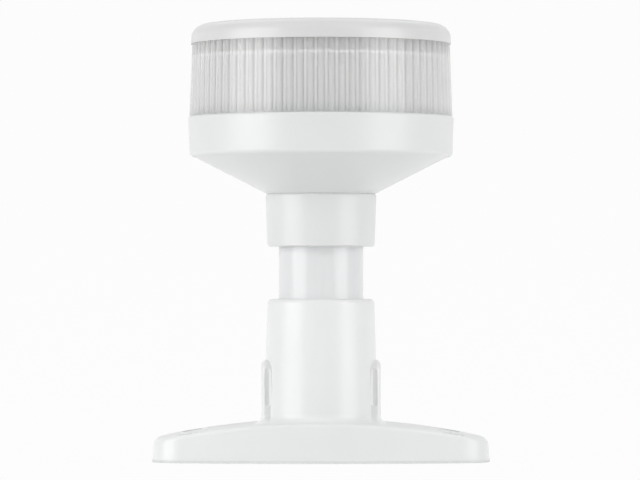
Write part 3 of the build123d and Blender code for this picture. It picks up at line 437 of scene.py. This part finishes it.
SEEN_GLOW = 0.965  # to the camera, and through the lens and the bulb
SCATTERED_GLOW = 0.10  # to matt surfaces
MIRRORED_GLOW = 0.35  # in glossy ones
ROOM_GLOW = 0.29
ROOM_SEEN_GLOW = 0.975  # to the camera: as bright as the sweep's own glow and the light on it together

SWEEP_FRONT = -1.6
SWEEP_BACK = 1.3
SWEEP_BEND = 0.5
SWEEP_TOP = 1.6
SWEEP_HALF_WIDTH = 2.5
SWEEP_STEPS = 24

# Azimuth and elevation in degrees, distance, width and height in metres, and power in watts.
SOFT_BOXES = {
    "left_box": (-62, 8, 0.9, 0.7, 0.9, 6.1),
    "right_box": (58, 8, 0.9, 0.6, 0.9, 4.8),
    "high_left_box": (-60, 55, 1.0, 1.0, 0.8, 1.2),
    "high_right_box": (60, 55, 1.0, 1.0, 0.8, 1.7),
    "back_box": (180, 60, 1.0, 1.0, 0.8, 2.8),
}

CAMERA_PLACE = (-0.0003, -1.197, 0.0554)
CAMERA_AIM = (-0.0003, 0, 0.0660)
CAMERA_LENS_MM = 224.4
SENSOR_WIDTH_MM = 36

low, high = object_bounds()
middle = (low + high) / 2


def white_glow():
    """The sweep's paper. Its glow keeps it white where it is seen, and adds little light to the object."""
    g = Graph("sweep")
    rays = g.add("ShaderNodeLightPath").outputs
    scattered = rays["Is Diffuse Ray"]
    mirrored = g.math("MULTIPLY", rays["Is Glossy Ray"], rays["Is Reflection Ray"])
    seen = g.math("SUBTRACT", g.opposite(scattered), mirrored)
    paper_tone = g.mix_colour(seen, (0.82, 0.82, 0.82), (0.015, 0.015, 0.015))
    paper = g.add("ShaderNodeBsdfDiffuse", Color=paper_tone, Roughness=0.9)
    strength = g.math("MULTIPLY", seen, SEEN_GLOW)
    strength = g.math("ADD", strength, g.math("MULTIPLY", scattered, SCATTERED_GLOW))
    strength = g.math("ADD", strength, g.math("MULTIPLY", mirrored, MIRRORED_GLOW))
    glow = g.add("ShaderNodeEmission", Color=(1, 1, 1, 1), Strength=strength)
    both = g.add("ShaderNodeAddShader")
    g.set(both, 0, paper.outputs[0])
    g.set(both, 1, glow.outputs[0])
    material = g.surface(both.outputs[0])
    # Sampled as a lamp, the glow would ignore which kind of ray it is seen by.
    material.cycles.emission_sampling = "NONE"
    return material


def sweep_surface():
    """The floor and its backdrop: one surface that curves up behind the object."""
    outline = [(SWEEP_FRONT, 0.0), (SWEEP_BACK - SWEEP_BEND, 0.0)]
    for step in range(1, SWEEP_STEPS + 1):
        angle = math.pi / 2 * step / SWEEP_STEPS
        y = SWEEP_BACK - SWEEP_BEND * (1 - math.sin(angle))
        z = SWEEP_BEND * (1 - math.cos(angle))
        outline.append((y, z))
    outline.append((SWEEP_BACK, SWEEP_TOP))
    points = [(x, y, z + low.z) for y, z in outline for x in (-SWEEP_HALF_WIDTH, SWEEP_HALF_WIDTH)]
    faces = [(2 * i, 2 * i + 1, 2 * i + 3, 2 * i + 2) for i in range(len(outline) - 1)]
    mesh = bpy.data.meshes.new("sweep")
    mesh.from_pydata(points, [], faces)
    mesh.shade_smooth()
    mesh.materials.append(white_glow())
    floor = bpy.data.objects.new("sweep", mesh)
    bpy.context.scene.collection.objects.link(floor)


def soft_box(name, azimuth, elevation, distance, width, height, power):
    """An area light that faces the object; azimuth counts from the camera's side, positive to the right."""
    data = bpy.data.lights.new(name, "AREA")
    data.shape = "RECTANGLE"
    data.size = width
    data.size_y = height
    data.energy = power
    light = bpy.data.objects.new(name, data)
    a, e = math.radians(azimuth), math.radians(elevation)
    away = Vector((math.sin(a) * math.cos(e), -math.cos(a) * math.cos(e), math.sin(e)))
    light.location = middle + away * distance
    light.rotation_euler = away.to_track_quat("Z", "Y").to_euler()
    bpy.context.scene.collection.objects.link(light)


def room_light():
    """Even light from all round; seen past the sweep's edge it is as white as the sweep."""
    world = bpy.data.worlds.new("room")
    world.use_nodes = True
    nodes, links = world.node_tree.nodes, world.node_tree.links
    room = nodes["Background"]
    backdrop = nodes.new("ShaderNodeBackground")
    for background, glow in ((room, ROOM_GLOW), (backdrop, ROOM_SEEN_GLOW)):
        background.inputs["Color"].default_value = (1, 1, 1, 1)
        background.inputs["Strength"].default_value = glow
    choice = nodes.new("ShaderNodeMixShader")
    links.new(nodes.new("ShaderNodeLightPath").outputs["Is Camera Ray"], choice.inputs[0])
    links.new(room.outputs[0], choice.inputs[1])
    links.new(backdrop.outputs[0], choice.inputs[2])
    links.new(choice.outputs[0], nodes["World Output"].inputs["Surface"])
    bpy.context.scene.world = world


def camera():
    """A long lens level with the middle of the exposed pole, looking along +Y and slightly up."""
    data = bpy.data.cameras.new("camera")
    data.lens = CAMERA_LENS_MM
    data.sensor_width = SENSOR_WIDTH_MM
    view = bpy.data.objects.new("camera", data)
    view.location = CAMERA_PLACE
    aim = Vector(CAMERA_AIM) - view.location
    view.rotation_euler = aim.to_track_quat("-Z", "Y").to_euler()
    bpy.context.scene.collection.objects.link(view)
    bpy.context.scene.camera = view


sweep_surface()
for box_name, settings in SOFT_BOXES.items():
    soft_box(box_name, *settings)
room_light()
camera()
bpy.context.scene.view_settings.view_transform = "Standard"
